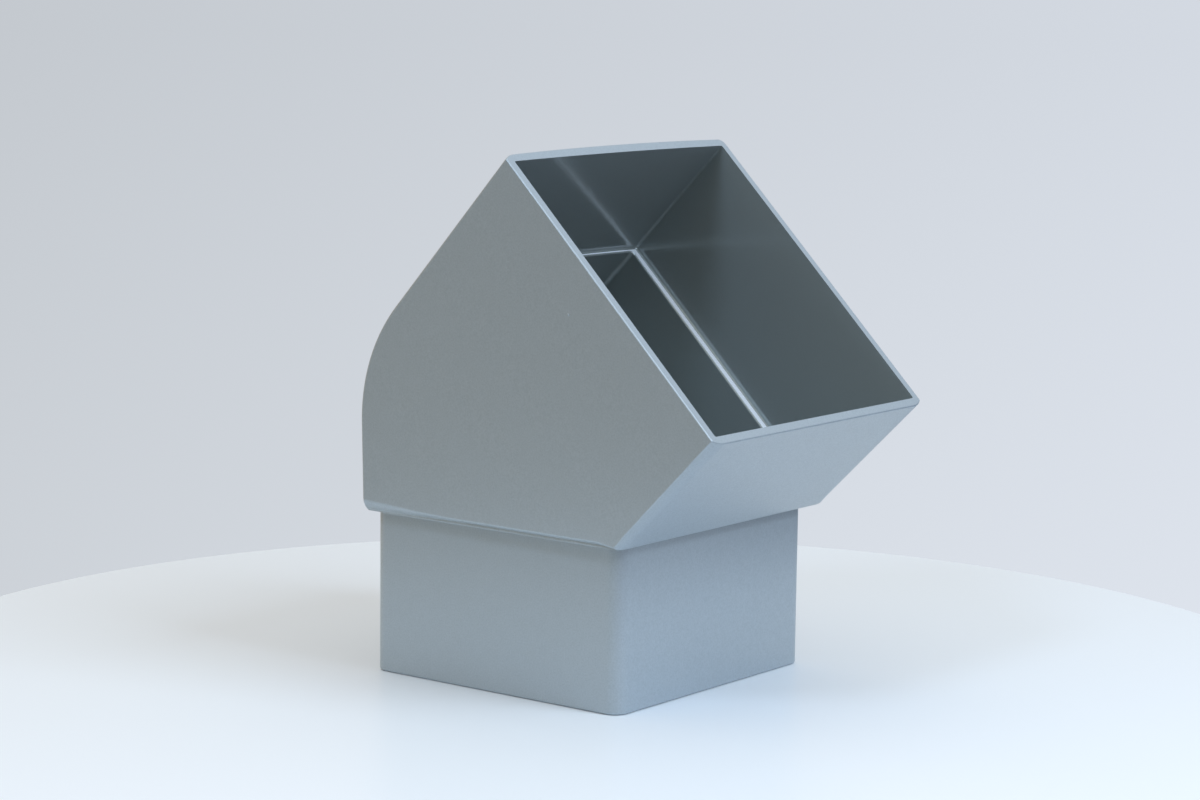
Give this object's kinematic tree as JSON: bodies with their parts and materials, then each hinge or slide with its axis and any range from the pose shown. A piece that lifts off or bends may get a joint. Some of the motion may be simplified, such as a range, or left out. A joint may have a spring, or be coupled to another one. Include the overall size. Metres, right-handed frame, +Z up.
{
  "type": "downpipe bend",
  "caption": "Square moulded downpipe bend: a spigot below, a shoulder, a rounded elbow and a socket that leans at 45 degrees with a pipe stop inside.",
  "frame": {"origin": "middle of the part's box at the level of the spigot's foot; the spigot's axis is upright at x = -17.22 mm, y = 0", "axes": "+Z up along the spigot's axis; +X the way the socket leans; the part is the same on both sides of the XZ plane"},
  "size_m": [0.1368, 0.1094, 0.163],
  "materials": {
    "moulded_plastic": "metallic grey, satin, fine moulded grain"
  },
  "bodies": {
    "root": {"downpipe_bend": "moulded_plastic"}
  },
  "joints": []
}
